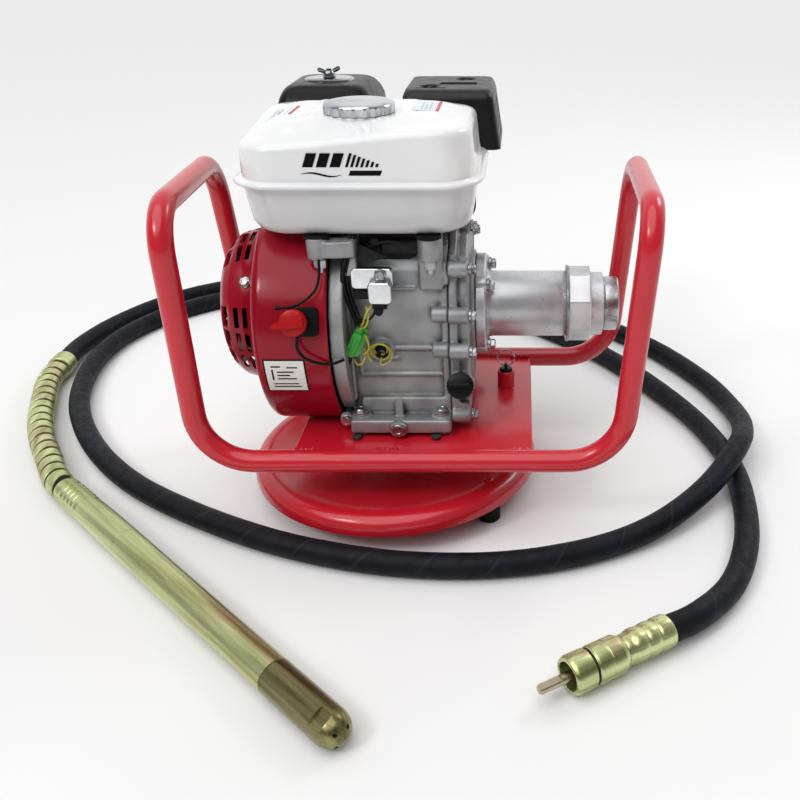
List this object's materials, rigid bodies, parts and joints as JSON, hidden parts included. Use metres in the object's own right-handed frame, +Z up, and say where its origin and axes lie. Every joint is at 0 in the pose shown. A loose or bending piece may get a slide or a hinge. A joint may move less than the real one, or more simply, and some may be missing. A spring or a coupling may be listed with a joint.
{
  "type": "concrete vibrator",
  "caption": "Petrol-driven concrete vibrator: engine on a swivelling tube carry frame, with its detached flexible shaft and poker laid around it on the ground.",
  "frame": {"origin": "middle of the machine's footprint at ground level, without the flexible shaft and poker", "axes": "+Z up, +X towards the drive end where the flexible shaft plugs in, -Y towards the front, the side with the fuel tank and the switch"},
  "size_m": [0.926, 1.0278, 0.417],
  "materials": {
    "red_paint": "gloss powder coat",
    "shroud_red": "gloss enamel",
    "white_paint": "gloss enamel",
    "black_paint": "satin heat-proof paint",
    "cast_aluminium": "as cast",
    "machined_aluminium": "turned",
    "zinc_steel": "zinc plated",
    "dark_iron": "rough",
    "chrome": "polished",
    "yellow_zinc": "yellow passivated zinc",
    "black_plastic": "moulded",
    "red_plastic": "moulded",
    "foot_rubber": "moulded",
    "hose_rubber": "cloth-wrapped",
    "filter_felt": "foam and paper",
    "yellow_lead": "insulated wire"
  },
  "bodies": {
    "base": {"swivel_disc": "red_paint", "rubber_foot_1": "foot_rubber", "rubber_foot_2": "foot_rubber", "rubber_foot_3": "foot_rubber", "flexible_hose": "hose_rubber", "coupling_ferrule": "yellow_zinc", "coupling_body": "yellow_zinc", "guard_collar": "yellow_zinc", "spring_guard": "yellow_zinc", "poker_ferrule": "yellow_zinc", "poker_casing": "yellow_zinc", "poker_cap": "yellow_zinc"},
    "carry_frame": {"front_rail": "red_paint", "rear_rail": "red_paint", "left_handle": "red_paint", "right_handle": "red_paint", "engine_plate": "red_paint", "swivel_boss": "zinc_steel", "lock_pin_sleeve": "red_paint", "crankcase": "cast_aluminium", "crankcase_side_cover": "cast_aluminium", "oil_drain_plug": "zinc_steel", "engine_bolt_1": "zinc_steel", "engine_bolt_2": "zinc_steel", "engine_bolt_3": "zinc_steel", "engine_bolt_4": "zinc_steel", "cylinder_and_head": "cast_aluminium", "rocker_cover": "zinc_steel", "spark_plug_cap": "foot_rubber", "carburettor": "machined_aluminium", "air_cleaner_base": "black_plastic", "air_filter_element": "filter_felt", "muffler": "dark_iron", "muffler_guard": "black_paint", "fan_shroud": "shroud_red", "recoil_cover": "shroud_red", "drive_adapter": "machined_aluminium", "coupling_sleeve": "zinc_steel", "fuel_tank": "white_paint", "ignition_unit": "zinc_steel", "switch_housing": "black_plastic", "switch_lead": "black_plastic", "sensor_lead": "yellow_lead"},
    "lock_pin": {"lock_pin": "black_paint"},
    "pull_ring": {"pull_ring": "zinc_steel"},
    "crankshaft": {"crankshaft": "zinc_steel", "flywheel_fan": "dark_iron"},
    "starter_grip": {"starter_grip": "black_plastic"},
    "starter_pulley": {"starter_pulley": "black_plastic"},
    "switch_knob": {"switch_knob": "red_plastic"},
    "fuel_cap": {"fuel_cap": "chrome"},
    "air_cleaner_cover": {"air_cleaner_cover": "black_plastic"},
    "wing_nut": {"cleaner_wing_nut": "chrome"},
    "oil_dipstick": {"oil_dipstick": "black_plastic"},
    "throttle_lever": {"throttle_lever": "zinc_steel"},
    "choke_lever": {"choke_lever": "black_plastic"},
    "fuel_valve_lever": {"fuel_valve_lever": "red_plastic"},
    "collar_nut": {"collar_nut": "machined_aluminium"},
    "drive_tip": {"drive_tip": "zinc_steel"},
    "eccentric_rotor": {"eccentric_rotor": "zinc_steel"}
  },
  "joints": [
    {"name": "frame_swivel", "type": "hinge", "parent": "base", "child": "carry_frame", "pos_m": [-0.0325, -0.039, 0.06], "axis": [0, 0, 1], "continuous": true},
    {"name": "lock_pin_slide", "type": "slide", "parent": "carry_frame", "child": "lock_pin", "axis": [0, 0, 1], "range_m": [-0.005, 0]},
    {"name": "pull_ring_swing", "type": "hinge", "parent": "lock_pin", "child": "pull_ring", "pos_m": [0.0885, -0.003, 0.1216], "axis": [1, 0, 0], "range_deg": [-60, 60]},
    {"name": "crankshaft_spin", "type": "hinge", "parent": "carry_frame", "child": "crankshaft", "pos_m": [0, -0.019, 0.201], "axis": [1, 0, 0], "continuous": true},
    {"name": "starter_pull", "type": "slide", "parent": "carry_frame", "child": "starter_grip", "axis": [0, 1, 0], "range_m": [0, 0.5], "stiffness_N_per_m": 40, "springref_m": -0.1},
    {"name": "starter_pulley_turn", "type": "hinge", "parent": "carry_frame", "child": "starter_pulley", "pos_m": [-0.1685, -0.019, 0.201], "axis": [1, 0, 0], "range_deg": [-640, 0]},
    {"name": "engine_switch_turn", "type": "hinge", "parent": "carry_frame", "child": "switch_knob", "pos_m": [-0.1025, -0.14633, 0.23152], "axis": [0, -0.9553, 0.2955], "range_deg": [0, 60]},
    {"name": "fuel_cap_turn", "type": "hinge", "parent": "carry_frame", "child": "fuel_cap", "pos_m": [-0.0425, -0.051, 0.405], "axis": [0, 0, 1], "range_deg": [0, 90]},
    {"name": "air_cleaner_cover_lift", "type": "slide", "parent": "carry_frame", "child": "air_cleaner_cover", "axis": [0, 0, 1], "range_m": [0, 0.09]},
    {"name": "wing_nut_turn", "type": "hinge", "parent": "air_cleaner_cover", "child": "wing_nut", "pos_m": [-0.1045, 0.134, 0.408], "axis": [0, 0, 1], "range_deg": [0, 1080]},
    {"name": "dipstick_pull", "type": "slide", "parent": "carry_frame", "child": "oil_dipstick", "axis": [0, -0.9048, 0.4259], "range_m": [0, 0.07]},
    {"name": "throttle_swing", "type": "hinge", "parent": "carry_frame", "child": "throttle_lever", "pos_m": [-0.0865, 0.106, 0.294], "axis": [0, 0, 1], "range_deg": [-35, 0]},
    {"name": "choke_swing", "type": "hinge", "parent": "carry_frame", "child": "choke_lever", "pos_m": [-0.0985, 0.121, 0.289], "axis": [0, 0, 1], "range_deg": [0, 35]},
    {"name": "fuel_valve_turn", "type": "hinge", "parent": "carry_frame", "child": "fuel_valve_lever", "pos_m": [-0.0925, 0.137, 0.238], "axis": [0, 1, 0], "range_deg": [0, 90]},
    {"name": "collar_nut_turn", "type": "hinge", "parent": "carry_frame", "child": "collar_nut", "pos_m": [0.17, -0.019, 0.201], "axis": [1, 0, 0], "range_deg": [0, 720]},
    {"name": "drive_tip_spin", "type": "hinge", "parent": "base", "child": "drive_tip", "pos_m": [0.2285, -0.313, 0.0176], "axis": [-0.8499, -0.527, 0], "continuous": true},
    {"name": "rotor_spin", "type": "hinge", "parent": "base", "child": "eccentric_rotor", "pos_m": [-0.3795, -0.095, 0.0164], "axis": [0.7284, -0.6852, 0], "continuous": true}
  ],
  "couplings": [
    {"joint": "starter_pulley_turn", "follows": "starter_pull", "rad_per_m": -22.222},
    {"joint": "drive_tip_spin", "follows": "rotor_spin", "ratio": -1}
  ]
}
